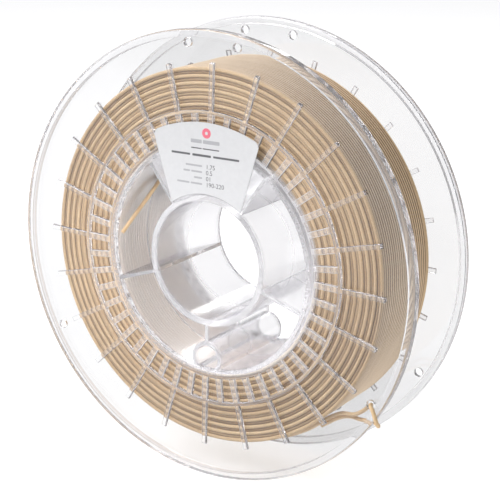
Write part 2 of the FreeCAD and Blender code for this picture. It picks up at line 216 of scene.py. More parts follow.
def select_vertices(piece, wanted):
    """Select the vertices whose place passes a test, and return how many there are."""
    bpy.ops.mesh.select_mode(type="VERT")
    bpy.ops.mesh.select_all(action="DESELECT")
    shape = bmesh.from_edit_mesh(piece.data)
    for vertex in shape.verts:
        vertex.select = wanted(vertex.co)
    shape.select_flush_mode()
    bmesh.update_edit_mesh(piece.data)
    return sum(vertex.select for vertex in shape.verts)


def select_edges(piece, wanted):
    """Select the edges whose two ends both pass a test."""
    bpy.ops.mesh.select_mode(type="EDGE")
    bpy.ops.mesh.select_all(action="DESELECT")
    shape = bmesh.from_edit_mesh(piece.data)
    for edge in shape.edges:
        edge.select = all(wanted(vertex.co) for vertex in edge.verts)
    bmesh.update_edit_mesh(piece.data)
    return sum(edge.select for edge in shape.edges)


def draw_outline(name, corners):
    """A filled outline in the XY plane, drawn by extruding one point round it."""
    bpy.ops.object.select_all(action="DESELECT")
    bpy.ops.mesh.primitive_plane_add(size=MM, location=(*corners[0], 0))
    piece = begin(name)
    bpy.ops.mesh.select_mode(type="VERT")
    bpy.ops.mesh.merge(type="CENTER")
    for start, stop in zip(corners, corners[1:]):
        step = (stop[0] - start[0], stop[1] - start[1], 0)
        bpy.ops.mesh.extrude_vertices_move(TRANSFORM_OT_translate={"value": step})
    bpy.ops.mesh.select_all(action="SELECT")
    bpy.ops.mesh.edge_face_add()
    return piece


def round_corners(piece, wanted, amount, segments=2):
    """Round the outline's corners that pass a test."""
    if select_vertices(piece, wanted):
        bpy.ops.mesh.bevel(affect="VERTICES", offset=amount, segments=segments)


def turn_outline(piece, steps, centre=(0, 0, 0)):
    """Turn a closed outline right round a line along Y."""
    bpy.ops.mesh.select_mode(type="VERT")
    bpy.ops.mesh.select_all(action="SELECT")
    bpy.ops.mesh.delete(type="ONLY_FACE")
    bpy.ops.mesh.select_all(action="SELECT")
    bpy.ops.mesh.spin(steps=steps, angle=2 * math.pi, center=centre, axis=(0, 1, 0))
    return finish_edit(piece)


def open_edges(piece):
    """How many edges don't have exactly two faces."""
    shape = bmesh.new()
    shape.from_mesh(piece.data)
    count = sum(not edge.is_manifold for edge in shape.edges)
    shape.free()
    return count


def volume(piece):
    """The volume inside a closed piece, in cubic centimetres."""
    shape = bmesh.new()
    shape.from_mesh(piece.data)
    amount = shape.calc_volume(signed=True)
    shape.free()
    return amount * 1e6


def combine(piece, tool, operation):
    """Add, cut or trim with another piece, which is used up."""
    change = piece.modifiers.new(operation.lower(), "BOOLEAN")
    change.operation = operation
    change.solver = "EXACT"
    change.object = tool
    bpy.ops.object.select_all(action="DESELECT")
    bpy.context.view_layer.objects.active = piece
    bpy.ops.object.modifier_apply(modifier=change.name)
    bpy.data.objects.remove(tool)
    return piece


# %% [markdown]
# Each half of the spool is one moulding. Its turned part is the flange with its rim
# bead, step ring and collar, and the drum wall that the filament is wound on. One
# outline holds all of that. Real moulded edges are never quite sharp, so the corners
# are rounded before the outline is turned, and the rounding catches the light.

# %% Turned part of a half
MID = -PARTING_GAP
half = draw_outline("front_half", [
    (DRUM_INSIDE, MID),
    (DRUM_INSIDE, CORE_FACE),
    (DRUM_RADIUS, CORE_FACE),
    (DRUM_RADIUS, COLLAR_FACE),
    (COLLAR_RADIUS, COLLAR_FACE),
    (COLLAR_RADIUS, PLATE_OUTSIDE),
    (STEP_INSIDE, PLATE_OUTSIDE),
    (STEP_INSIDE, COLLAR_FACE),
    (STEP_OUTSIDE, COLLAR_FACE),
    (STEP_OUTSIDE, PLATE_OUTSIDE),
    (RIM_RADIUS - RIM_WIDTH, PLATE_OUTSIDE),
    (RIM_RADIUS - RIM_WIDTH, RIM_FACE),
    (RIM_RADIUS, RIM_FACE),
    (RIM_RADIUS, PLATE_INSIDE),
    (DRUM_RADIUS, PLATE_INSIDE),
    (DRUM_RADIUS, MID),
])
round_corners(half, lambda p: p.x > RIM_RADIUS - 0.1 * MM, RIM_ROUND, segments=4)
round_corners(half, lambda p: p.x < RIM_RADIUS - 2 * MM and p.y < -MM, EDGE_ROUND)
turn_outline(half, 240)
print("turned part:", len(half.data.polygons), "faces,", open_edges(half), "open edges")

# %% [markdown]
# The ribs on the outer face stand on the plate. One rib is made from a cube: its top
# edges are bevelled and its outer end slopes down, then it is copied round the axis.
# They reach a little into the plate so that the union has no hairline gap.

# %% Ribs
RIB_START = math.radians(13.4)
SINK = 0.8 * MM
RIB_BEVEL = 0.3 * MM
SHORT_RIBS = 48
SHORT_RIB_WIDTH = 2.8 * MM
SHORT_RIB_SLOPE = 0.3 * MM
LONG_RIBS = 24
LONG_RIB_WIDTH = 2.0 * MM
LONG_RIB_HEIGHT = 1.8 * MM
LONG_RIB_END = 86.4 * MM
LONG_RIB_SLOPE = 0.7 * MM


def rib_ring(name, inner, outer, width, top, slope, count):
    """Ribs round the axis: a bevelled bar with a sloping outer end, copied in a ring."""
    low = PLATE_OUTSIDE + SINK
    middle = Vector(((inner + outer) / 2, (top + low) / 2, 0))
    place = Quaternion((0, 1, 0), -RIB_START) @ middle
    bpy.ops.object.select_all(action="DESELECT")
    bpy.ops.mesh.primitive_cube_add(size=1, scale=(outer - inner, low - top, width))
    ribs = begin(name)
    select_vertices(ribs, lambda p: p.y < 0 and p.x > 0)
    bpy.ops.transform.translate(value=(-slope, 0, 0))
    select_edges(ribs, lambda p: p.y < 0)
    bpy.ops.mesh.bevel(offset=RIB_BEVEL, segments=2)
    bpy.ops.object.mode_set(mode="OBJECT")
    ribs.rotation_euler = (0, -RIB_START, 0)
    ribs.location = place
    bpy.ops.object.transform_apply(location=True, rotation=True)
    bpy.ops.object.mode_set(mode="EDIT")
    bpy.ops.mesh.select_all(action="SELECT")
    bpy.ops.mesh.spin(steps=count - 1, dupli=True, angle=2 * math.pi * (count - 1) / count,
                      center=(0, 0, 0), axis=(0, 1, 0))
    return finish_edit(ribs)


STEP_MIDDLE = (STEP_INSIDE + STEP_OUTSIDE) / 2
short_ribs = rib_ring("short_ribs", COLLAR_RADIUS - MM, STEP_MIDDLE, SHORT_RIB_WIDTH,
                      COLLAR_FACE, SHORT_RIB_SLOPE, SHORT_RIBS)
long_ribs = rib_ring("long_ribs", STEP_MIDDLE, LONG_RIB_END, LONG_RIB_WIDTH,
                     PLATE_OUTSIDE - LONG_RIB_HEIGHT, LONG_RIB_SLOPE, LONG_RIBS)
print("ribs:", len(short_ribs.data.polygons), len(long_ribs.data.polygons), "faces,",
      open_edges(short_ribs), open_edges(long_ribs), "open")
combine(half, short_ribs, "UNION")
combine(half, long_ribs, "UNION")
print("half with ribs:", len(half.data.polygons), open_edges(half))

# %% [markdown]
# The core is the hub tube round the bore, five webs that carry it, and a round boss
# that the bottom web ends on. Each reaches half a wall into its neighbour and is
# joined to it, so that light passes through one solid moulding. The boss would stick
# out through the drum, so it is trimmed before it is joined.

# %% Hub, boss and webs
BOSS_LOW, BOSS_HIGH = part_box("front_boss")
BOSS_RADIUS = (BOSS_HIGH.x - BOSS_LOW.x) / 2
BOSS_CENTRE = BOSS_HIGH.z - BOSS_RADIUS
BOSS_INSIDE = BOSS_RADIUS - 1.8 * MM
BORE_LEAD = 0.6 * MM
WEB_START = math.radians(54)
SECTOR = math.radians(72)
WEBS = 5
BOSS_WEB = 3
WEB_WIDTH = 1.6 * MM
INTO_WALL = 1.0 * MM
SHY = 0.02 * MM

hub = draw_outline("hub", [
    (HUB_INSIDE, MID),
    (HUB_INSIDE, CORE_FACE),
    (HUB_RADIUS, CORE_FACE),
    (HUB_RADIUS, MID),
])
round_corners(hub, lambda p: p.x < HUB_RADIUS - MM and p.y < -MM, BORE_LEAD, segments=3)
round_corners(hub, lambda p: p.x > HUB_RADIUS - 0.1 * MM and p.y < -MM, EDGE_ROUND)
turn_outline(hub, 160)

boss = draw_outline("boss", [
    (BOSS_INSIDE, MID - SHY / 2),
    (BOSS_INSIDE, CORE_FACE + SHY / 2),
    (BOSS_RADIUS, CORE_FACE + SHY / 2),
    (BOSS_RADIUS, MID - SHY / 2),
])
round_corners(boss, lambda p: p.y < -MM, EDGE_ROUND)
turn_outline(boss, 64)
pick(boss)
bpy.ops.transform.translate(value=(0, 0, BOSS_CENTRE))
bpy.ops.object.transform_apply(location=True)
bpy.ops.mesh.primitive_cylinder_add(vertices=160, radius=(DRUM_INSIDE + DRUM_RADIUS) / 2,
                                    depth=0.2, rotation=(math.pi / 2, 0, 0))
trim = begin("boss_trim")
finish_edit(trim)
combine(boss, trim, "INTERSECT")


def web(name, outer, angle):
    """One flat web along a radius, its front edges rounded."""
    inner = (HUB_INSIDE + HUB_RADIUS) / 2
    bpy.ops.object.select_all(action="DESELECT")
    bpy.ops.mesh.primitive_cube_add(
        size=1, location=((inner + outer) / 2, (CORE_FACE + MID) / 2, 0),
        scale=(outer - inner, MID - CORE_FACE - 2 * SHY, WEB_WIDTH))
    piece = begin(name)
    select_edges(piece, lambda p: p.y < CORE_FACE + 0.1 * MM)
    bpy.ops.mesh.bevel(offset=EDGE_ROUND, segments=2)
    bpy.ops.object.mode_set(mode="OBJECT")
    piece.rotation_euler = (0, -angle, 0)
    bpy.ops.object.transform_apply(rotation=True)
    return piece


for number in range(WEBS):
    reach = DRUM_INSIDE + INTO_WALL
    if number == BOSS_WEB:
        reach = -BOSS_CENTRE - BOSS_INSIDE - INTO_WALL
    combine(half, web("web", reach, WEB_START + number * SECTOR), "UNION")
combine(half, hub, "UNION")
combine(half, boss, "UNION")
print("half with core:", len(half.data.polygons), "faces,", open_edges(half), "open edges")

# %% [markdown]
# Four holes go through the flange near its rim, for parking the filament's end, and
# half of the slot for the inner end is cut from the drum at the joint. The holes'
# angles are the same on both flanges.

# %% Rim holes and drum slot
HOLE_RADIUS = 2.0 * MM
HOLE_CIRCLE = 94.2
HOLE_ANGLES = (81.5, 96.5, 208.5, 328.4)
SLOT_SIZE = (6.0 * MM, 5.2 * MM, 11.5 * MM)
SLOT_ANGLE = math.radians(141)
for angle in HOLE_ANGLES:
    bpy.ops.object.select_all(action="DESELECT")
    bpy.ops.mesh.primitive_cylinder_add(
        vertices=32, radius=HOLE_RADIUS, depth=0.02, rotation=(math.pi / 2, 0, 0),
        location=polar(HOLE_CIRCLE, angle, PLATE_INSIDE / MM))
    drill = begin("drill")
    finish_edit(drill)
    combine(half, drill, "DIFFERENCE")

bpy.ops.object.select_all(action="DESELECT")
bpy.ops.mesh.primitive_cube_add(size=1, scale=SLOT_SIZE,
                                location=polar(DRUM_RADIUS / MM, 0, 0))
slot_cut = begin("slot_cut")
finish_edit(slot_cut)
slot_cut.rotation_euler = (0, -SLOT_ANGLE, 0)
pick(slot_cut)
bpy.ops.object.transform_apply(rotation=True)
combine(half, slot_cut, "DIFFERENCE")
print("half drilled:", len(half.data.polygons), "faces,", open_edges(half), "open edges")
print("one half holds %.1f cm3 of plastic" % volume(half))

# %% [markdown]
# The rear half is the front one mirrored at mid width, so it is copied now, before
# the front half gets its label shelf. Mirroring turns a mesh inside out, so its
# normals are turned back. The shelf is a thin fan between the two upper webs.

# %% Rear half and label shelf
pick(half)
bpy.ops.object.duplicate()
rear_half = bpy.context.object
rear_half.name = "rear_half"
bpy.ops.transform.resize(value=(1, -1, 1))
bpy.ops.object.transform_apply(scale=True)
bpy.ops.object.mode_set(mode="EDIT")
finish_edit(rear_half)

SHELF_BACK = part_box("front_label_shelf")[1].y
shelf = draw_outline("shelf", [
    ((HUB_INSIDE + HUB_RADIUS) / 2, CORE_FACE + SHY),
    (DRUM_INSIDE + INTO_WALL, CORE_FACE + SHY),
    (DRUM_INSIDE + INTO_WALL, SHELF_BACK),
    ((HUB_INSIDE + HUB_RADIUS) / 2, SHELF_BACK),
])
bpy.ops.mesh.select_mode(type="FACE")
bpy.ops.mesh.select_all(action="SELECT")
bpy.ops.mesh.spin(steps=48, angle=SECTOR, center=(0, 0, 0), axis=(0, 1, 0))
finish_edit(shelf)
shelf.rotation_euler = (0, -WEB_START, 0)
pick(shelf)
bpy.ops.object.transform_apply(rotation=True)
shelf_low = min(vertex.co.z for vertex in shelf.data.vertices)
print("shelf stands above z = %.1f mm, %d open edges" % (shelf_low / MM, open_edges(shelf)))
combine(half, shelf, "UNION")
half.name = "front_half"
for piece in (half, rear_half):
    pick(piece)
    bpy.ops.object.shade_smooth_by_angle(angle=math.radians(32))
    level = piece.modifiers.new("level_faces", "WEIGHTED_NORMAL")
    level.keep_sharp = True
    bpy.ops.object.modifier_apply(modifier=level.name)
    print(piece.name, len(piece.data.polygons), "faces,", open_edges(piece), "open edges,",
          "%.1f cm3" % volume(piece))

CORE_PARTS = ("flange", "hub", "drum", "boss", "web_upper_right", "web_upper_left",
              "web_left", "web_bottom", "web_right")
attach(half, "root")
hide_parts(*["front_" + part for part in CORE_PARTS + ("label_shelf",)])
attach(rear_half, "root")
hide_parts(*["rear_" + part for part in CORE_PARTS])

# %% [markdown]
# The filament was wound by a machine, so its turns lie in layers, each layer nested
# in the valleys of the one below. At each flange every second layer touches the
# plate, which is why the side shows evenly spaced rows with a shallower row between
# them. One turn is a circle of strand, a torus with a light shake in its place and
# lean, so that no two rows are quite parallel. Each layer has its own size, so all
# the turns of one side are laid in the same mesh.

# %% Side turns
LAYER_RISE = 1.5155 * MM
FIRST_LAYER = DRUM_RADIUS + STRAND / 2
LAYERS = 21
OUTER_TURN = WOUND_HALF - STRAND / 2
TURN_RADIUS = STRAND / 2 * 0.985
TOUCHING_INSET = 0.06 * MM
NESTED_INSET = 0.7 * MM
shake = random.Random(41)


def add_turn(radius, along, around, across):
    """One turn of strand at this radius and place along the axis, slightly uneven."""
    lean = 0.10 * MM / radius
    bpy.ops.mesh.primitive_torus_add(
        major_radius=radius, minor_radius=TURN_RADIUS,
        major_segments=around, minor_segments=across,
        location=(shake.uniform(-0.05, 0.05) * MM, along, shake.uniform(-0.05, 0.05) * MM),
        rotation=(math.pi / 2 + shake.uniform(-lean, lean), shake.uniform(-lean, lean), 0))


def side_turns(name, side):
    """The outermost turn of every layer that a flange shows."""
    bpy.ops.object.select_all(action="DESELECT")
    bpy.ops.mesh.primitive_circle_add(radius=FIRST_LAYER, vertices=8)
    piece = begin(name)
    bpy.ops.mesh.delete(type="VERT")
    for layer in range(1, LAYERS):
        inset = TOUCHING_INSET if layer % 2 == 0 else NESTED_INSET
        depth = OUTER_TURN - inset - shake.uniform(0.0, 0.12) * MM
        add_turn(FIRST_LAYER + layer * LAYER_RISE, side * depth, 180, 10)
    bpy.ops.object.mode_set(mode="OBJECT")
    return piece


front_turns = side_turns("winding_front_turns", -1)
rear_turns = side_turns("winding_rear_turns", 1)
print("side turns:", len(front_turns.data.polygons), "faces each")

# %% [markdown]
# The top layer and the lowest one are seen edge on, across the whole width: one from
# outside, the other through the drum wall. Each is a helix, made by the Screw
# modifier from one round section. A plain ring between them fills the inside, which
# nothing shows except the dark gaps between turns. The last turn of all rises out of
# the top layer along its own route, so that the loose outer end seems to come from
# inside.

# %% Top layer, lowest layer and filler


def wound_layer(name, radius, steps, sides):
    """A helix of touching turns from one flange to the other."""
    turns = round(2 * OUTER_TURN / STRAND)
    bpy.ops.object.select_all(action="DESELECT")
    bpy.ops.mesh.primitive_circle_add(vertices=sides, radius=TURN_RADIUS,
                                      location=(radius, -OUTER_TURN, 0),
                                      fill_type="NOTHING")
    piece = begin(name)
    bpy.ops.object.mode_set(mode="OBJECT")
    screw = piece.modifiers.new("wind", "SCREW")
    screw.axis = "Y"
    screw.steps = steps
    screw.render_steps = steps
    screw.screw_offset = STRAND
    screw.iterations = turns
    bpy.ops.object.modifier_apply(modifier=screw.name)
    bpy.ops.object.mode_set(mode="EDIT")
    bpy.ops.mesh.select_all(action="SELECT")
    bpy.ops.mesh.fill_holes(sides=sides)
    return finish_edit(piece)


LAST_LAYER = FIRST_LAYER + (LAYERS - 1) * LAYER_RISE
top_layer = wound_layer("winding_top_layer", LAST_LAYER, 168, 10)
low_layer = wound_layer("winding_lowest_layer", FIRST_LAYER, 112, 8)
FILLER_HALF = OUTER_TURN - STRAND
filler = draw_outline("winding_filler", [
    (FIRST_LAYER, -FILLER_HALF),
    (WOUND_RADIUS - STRAND, -FILLER_HALF),
    (WOUND_RADIUS - STRAND, FILLER_HALF),
    (FIRST_LAYER, FILLER_HALF),
])
round_corners(filler, lambda p: True, 0.3 * MM)
turn_outline(filler, 128)
last_turn = strand_curve("winding_last_turn", LAST_TURN)
pick(last_turn)
bpy.ops.object.convert(target="MESH")
last_turn = bpy.context.object
last_turn.name = "winding_last_turn"
WOUND = (front_turns, rear_turns, top_layer, low_layer, filler, last_turn)
for piece in WOUND:
    pick(piece)
    bpy.ops.object.shade_smooth_by_angle(angle=math.radians(60))
    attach(piece, "root")
    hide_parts("filament_winding")
    print(piece.name, len(piece.data.polygons), "faces,", open_edges(piece), "open edges,",
          "%.1f cm3" % volume(piece))

# %% [markdown]
# The label is a thin paper sticker, cut as a fan with leaning sides and rounded upper
# corners. Its outline is drawn from the sizes of its CAD node and given its thickness
# by an extrude.

# %% Label
LABEL_LOW, LABEL_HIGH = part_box("label")
LABEL_OUTER = LABEL_HIGH.z
LABEL_INNER = 30.0 * MM
LABEL_LEAN = math.tan(math.radians(17))
LABEL_FOOT = 17.6 * MM
foot_rise = math.sqrt(LABEL_INNER ** 2 - LABEL_FOOT ** 2)
lean_shift = LABEL_FOOT - LABEL_LEAN * foot_rise
top_rise = (math.sqrt(LABEL_OUTER ** 2 * (1 + LABEL_LEAN ** 2) - lean_shift ** 2)
            - LABEL_LEAN * lean_shift) / (1 + LABEL_LEAN ** 2)


def arc(radius, start, stop, count):
    """Points along an arc about the origin."""
    turns = [start + (stop - start) * i / (count - 1) for i in range(count)]
    return [(radius * math.cos(turn), radius * math.sin(turn)) for turn in turns]


top_turn = math.asin(top_rise / LABEL_OUTER)
foot_turn = math.asin(foot_rise / LABEL_INNER)
label = draw_outline("label_sticker", arc(LABEL_OUTER, top_turn, math.pi - top_turn, 25)
                     + arc(LABEL_INNER, math.pi - foot_turn, foot_turn, 21))
top_reach = LABEL_OUTER * math.cos(top_turn)
round_corners(label, lambda p: abs(p.x) > top_reach - 0.01 * MM, 2.6 * MM, segments=6)
bpy.ops.mesh.select_all(action="SELECT")
bpy.ops.mesh.extrude_region_move(
    TRANSFORM_OT_translate={"value": (0, 0, LABEL_HIGH.y - LABEL_LOW.y)})
finish_edit(label)


def stand_up(piece, front):
    """Turn a flat piece from the XY plane to face the front, with its face at this y."""
    pick(piece)
    highest = max(vertex.co.z for vertex in piece.data.vertices)
    piece.rotation_euler = (math.pi / 2, 0, 0)
    piece.location = (0, front + highest, 0)
    bpy.ops.object.transform_apply(location=True, rotation=True)
    return piece


stand_up(label, LABEL_LOW.y)
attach(label, "root")
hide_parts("label")
print("label:", [round(value / MM, 2) for corner in (label.bound_box[0], label.bound_box[6])
                 for value in corner], open_edges(label), "open edges")

# %% [markdown]
# The real label carries print. Here it is only the kind of thing such a label says:
# bars where words would be, a few plain numbers, and a ring as a mark. Each word is a
# thin slip of ink. They are laid out flat, then turned to face the front together.

# %% Print on the label
INK_DEPTH = 0.03 * MM
INK_FACE = LABEL_LOW.y - 0.02 * MM


def printed_words(name, words, rounding):
    """Slips of ink in the XY plane, each from (left, middle, length, height) in mm."""
    bpy.ops.object.select_all(action="DESELECT")
    bpy.ops.mesh.primitive_cube_add(size=MM)
    piece = begin(name)
    bpy.ops.mesh.delete(type="VERT")
    for left, middle, length, height in words:
        bpy.ops.mesh.primitive_cube_add(
            size=MM, location=((left + length / 2) * MM, middle * MM, 0),
            scale=(length, height, INK_DEPTH / MM))
    shape = bmesh.from_edit_mesh(piece.data)
    for edge in shape.edges:
        edge.select = abs(edge.verts[0].co.z - edge.verts[1].co.z) > INK_DEPTH / 2
    bmesh.update_edit_mesh(piece.data)
    bpy.ops.mesh.select_mode(type="EDGE")
    bpy.ops.mesh.bevel(offset=rounding * MM, segments=2)
    bpy.ops.object.mode_set(mode="OBJECT")
    return stand_up(piece, INK_FACE)


def printed_number(name, text, left, middle, height):
    """A number in the plain built-in letter shapes, made a mesh where it will lie."""
    bpy.ops.object.select_all(action="DESELECT")
    bpy.ops.object.text_add(location=(left * MM, (middle - height * 0.36) * MM, 0))
    writing = bpy.context.object
    writing.data.body = text
    writing.data.size = height * MM
    writing.data.extrude = INK_DEPTH / 2
    writing.data.resolution_u = 3
    bpy.ops.object.convert(target="MESH")
    piece = begin(name)
    finish_edit(piece)
    return stand_up(piece, INK_FACE)


TITLE = [(-17.4, 46.6, 9.6, 0.9), (-6.6, 46.6, 9.4, 1.0), (4.0, 46.6, 13.0, 0.9)]
NAME_LINE = [(-7.4, 52.6, 5.6, 1.6), (-1.2, 52.6, 8.4, 1.6)]
FINE_LINE = [(-7.2, 49.6, 5.4, 0.5), (-1.4, 49.6, 8.4, 0.5)]
CAPTIONS = [(-10.1, 42.0, 8.4, 0.8), (-11.3, 39.4, 3.4, 0.8), (-7.3, 39.4, 5.6, 0.8),
            (-5.9, 36.8, 4.2, 0.8), (-14.6, 34.2, 6.4, 0.8), (-7.6, 34.2, 5.9, 0.8)]
NUMBERS = [("1.75", 0.2, 42.0), ("0.5", 0.2, 39.4), ("01", 0.2, 36.8),
           ("190-220", 0.2, 34.2)]
NUMBER_HEIGHT = 2.8

dark_print = printed_words("print_dark", TITLE + FINE_LINE, 0.2)
grey_print = printed_words("print_grey", NAME_LINE + CAPTIONS, 0.3)
numbers = [printed_number("print_number_%d" % row, text, left, middle, NUMBER_HEIGHT)
           for row, (text, left, middle) in enumerate(NUMBERS)]
bpy.ops.object.select_all(action="DESELECT")
bpy.ops.mesh.primitive_torus_add(major_radius=1.45 * MM, minor_radius=0.75 * MM,
                                 major_segments=36, minor_segments=8,
                                 location=(0.6 * MM, 56.4 * MM, 0))
mark = begin("print_mark")
bpy.ops.mesh.select_all(action="SELECT")
bpy.ops.transform.resize(value=(1, 1, 0.02))
finish_edit(mark)
stand_up(mark, INK_FACE)
for piece in (dark_print, grey_print, mark, *numbers):
    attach(piece, "root")
print("print:", len(TITLE + NAME_LINE + FINE_LINE + CAPTIONS), "words,",
      len(numbers), "numbers")

# %% [markdown]
# Materials are written as arithmetic. A Wire stands for one socket, and +, - and * on
# it add Math nodes. A Finish is a material being made. Its node method adds any other
# node, its settings first and its sockets after, and the rest are short names for
# nodes that are used often.

# %% Shader helpers


class Wire:
    """One socket of a material, which arithmetic can be done on."""

    def __init__(self, finish, socket):
        self.finish = finish
        self.socket = socket

    def join(self, operation, first, second):
        return self.finish.node("ShaderNodeMath", {"operation": operation},
                                {0: first, 1: second})

    def __add__(self, other):
        return self.join("ADD", self, other)

    def __radd__(self, other):
        return self.join("ADD", other, self)

    def __sub__(self, other):
        return self.join("SUBTRACT", self, other)

    def __rsub__(self, other):
        return self.join("SUBTRACT", other, self)

    def __mul__(self, other):
        return self.join("MULTIPLY", self, other)

    def __rmul__(self, other):
        return self.join("MULTIPLY", other, self)


class Finish:
    """A material being made."""

    def __init__(self, name):
        self.material = bpy.data.materials.new(name)
        self.material.use_nodes = True
        self.tree = self.material.node_tree
        self.tree.nodes.clear()

    def node(self, kind, settings=(), sockets=(), output=0):
        """Add a node: its settings, then the values or wires of its sockets."""
        made = self.tree.nodes.new(kind)
        for name, value in dict(settings).items():
            if name == "stops":
                ramp = made.color_ramp.elements
                for element, (place, shade) in zip(ramp, value):
                    element.position = place
                    element.color = shade
            else:
                setattr(made, name, value)
        for name, value in dict(sockets).items():
            if isinstance(value, Wire):
                self.tree.links.new(value.socket, made.inputs[name])
            else:
                made.inputs[name].default_value = value
        return Wire(self, made.outputs[output])

    def place(self):
        """Object coordinates, in metres from the centre of the bore."""
        return self.node("ShaderNodeTexCoord", output=3)

    def noise(self, scale, detail=2.0, vector=None, roughness=0.5):
        """Noise of this many features to the metre, from 0 to 1."""
        return self.node("ShaderNodeTexNoise", {"noise_dimensions": "3D"}, {
            "Vector": vector or self.place(), "Scale": scale, "Detail": detail,
            "Roughness": roughness})

    def blend(self, share, first, second):
        """A mix of two colours."""
        return self.node("ShaderNodeMix", {"data_type": "RGBA"},
                         {0: share, 6: first, 7: second}, output=2)

    def bump(self, height, strength, distance):
        """A bumped normal from a height."""
        return self.node("ShaderNodeBump", (), {
            "Strength": strength, "Distance": distance, "Height": height})

    def show(self, surface):
        """Send a shader to the material's output."""
        end = self.tree.nodes.new("ShaderNodeOutputMaterial")
        self.tree.links.new(surface.socket, end.inputs["Surface"])
        return self.material


def coat(piece, material):
    """Give a whole piece one material."""
    piece.data.materials.clear()
    piece.data.materials.append(material)


# %% [markdown]
# The spool is clear polystyrene. It bends light like glass and has the faint waviness
# of a moulding. The core is paler and duller than the polished plates. Where a surface
# is seen edge on, painted shade turns it grey and faintly lavender. The sides of ribs
# and rings, between the plate and their tops, are painted browner, as a painted
# reflection of the filament.
#
# Everything that stands proud of the plates looks a little milky: there a white
# surface is mixed in, more on the short ribs, on the rounded edges of their tops, and
# on the drum wall. Lamp light should reach the filament inside, which a glass shader
# blocks, so for shadow rays alone the plastic turns transparent.

# %% Clear plastic
HAZE_START = -PLATE_OUTSIDE + 0.05 * MM
HAZE_FULL = -PLATE_OUTSIDE + 0.9 * MM
EDGE_START = -COLLAR_FACE - 0.3 * MM
EDGE_STOP = -COLLAR_FACE - 0.06 * MM
FILAMENT_REFLECTION_TONE = (0.62, 0.53, 0.47, 1.0)
EDGE_ON_SHADE_TONE = (0.16, 0.14, 0.19, 1.0)
MILKY_EVERYWHERE = 0.01
MILKY_DRUM = 0.12


def away_from_axis(finish):
    """Distance from the bore's axis."""
    flat_place = finish.node("ShaderNodeVectorMath", {"operation": "MULTIPLY"},
                             {0: finish.place(), 1: (1.0, 0.0, 1.0)})
    return finish.node("ShaderNodeVectorMath", {"operation": "LENGTH"},
                       {0: flat_place}, output=1)


def away_from_middle(finish):
    """Distance from the spool's mid width, on either side."""
    along = finish.node("ShaderNodeSeparateXYZ", (), {0: finish.place()}, output=1)
    return finish.node("ShaderNodeMath", {"operation": "ABSOLUTE"}, {0: along})


def fade(finish, value, start, stop, low, high):
    """A value carried from one range to another, and held at its ends."""
    return finish.node("ShaderNodeMapRange", {"clamp": True}, {
        "Value": value, "From Min": start, "From Max": stop, "To Min": low, "To Max": high})


clear = Finish("clear_plastic")
flow = clear.noise(55.0, 2.0)
haze = clear.noise(900.0, 3.0)
from_bore = away_from_axis(clear)
from_middle = away_from_middle(clear)
core_tone = clear.blend(flow, (0.885, 0.88, 0.885, 1.0), (0.915, 0.91, 0.912, 1.0))
plate_tone = clear.blend(flow, (0.81, 0.81, 0.81, 1.0), (0.84, 0.84, 0.84, 1.0))
on_plate = fade(clear, from_bore, DRUM_RADIUS, DRUM_RADIUS + MM, 0.0, 1.0)
clear_tone = clear.blend(on_plate, core_tone, plate_tone)
proud = fade(clear, from_middle, HAZE_START, HAZE_FULL, 0.0, 0.14)
on_short_rib = (fade(clear, from_bore, COLLAR_RADIUS - 0.2 * MM, COLLAR_RADIUS, 0.0, 1.0)
                * fade(clear, from_bore, STEP_INSIDE, STEP_INSIDE + 0.2 * MM, 1.0, 0.0))
proud = proud * (1.0 + on_short_rib * 0.6)
# Painted reflection: the sides of ribs and rings are tinted brown, as if they mirrored the
# filament.
painted_reflection_share = (fade(clear, from_middle, HAZE_START, HAZE_START + 0.2 * MM, 0.0, 1.0)
           * fade(clear, from_middle, EDGE_START - 0.2 * MM, EDGE_START, 1.0, 0.0))
clear_tone = clear.blend(painted_reflection_share * on_plate * 0.8, clear_tone, FILAMENT_REFLECTION_TONE)
# Painted shade: a surface seen edge on is tinted dark grey and faintly lavender.
edge_on_shade = clear.node("ShaderNodeLayerWeight", (), {"Blend": 0.35}, output=1)
clear_tone = clear.blend(edge_on_shade * edge_on_shade * 1.3, clear_tone, EDGE_ON_SHADE_TONE)
on_edge = (fade(clear, from_middle, EDGE_START - 0.1 * MM, EDGE_START + 0.1 * MM, 0.0, 0.45)
           * fade(clear, from_middle, EDGE_STOP, EDGE_STOP + 0.05 * MM, 1.0, 0.0)
           * fade(clear, from_bore, RIM_RADIUS - 8 * MM, RIM_RADIUS - 6 * MM, 1.0, 0.0))
on_drum = (fade(clear, from_bore, DRUM_INSIDE - 0.2 * MM, DRUM_INSIDE - 0.1 * MM,
                0.0, 1.0)
           * fade(clear, from_bore, DRUM_RADIUS + 0.1 * MM, DRUM_RADIUS + 0.2 * MM,
                  1.0, 0.0))
clear_body = clear.node("ShaderNodeBsdfPrincipled", (), {
    "Base Color": clear_tone,
    "Roughness": 0.10 + haze * 0.03 - on_plate * 0.09,
    "IOR": 1.5,
    "Transmission Weight": 1.0,
    "Normal": clear.bump(flow, 0.12, 0.0008),
})
milky = clear.node("ShaderNodeBsdfPrincipled", (), {
    "Base Color": clear.blend(haze, (0.86, 0.85, 0.90, 1.0), (0.95, 0.95, 0.97, 1.0)),
    "Roughness": 0.2,
    "IOR": 1.5,
})
milky_share = proud + on_edge + on_drum * MILKY_DRUM + MILKY_EVERYWHERE
moulded = clear.node("ShaderNodeMixShader", (), {
    0: milky_share * (0.7 + haze * 0.6), 1: clear_body, 2: milky})
lamp_ray = clear.node("ShaderNodeLightPath", output=1)
letting_through = clear.node("ShaderNodeBsdfTransparent", (),
                             {"Color": (0.96, 0.96, 0.97, 1.0)})
clear_plastic = clear.show(clear.node("ShaderNodeMixShader", (), {
    0: lamp_ray, 1: moulded, 2: letting_through}))
coat(half, clear_plastic)
coat(rear_half, clear_plastic)
print("clear plastic:", len(clear.tree.nodes), "nodes")
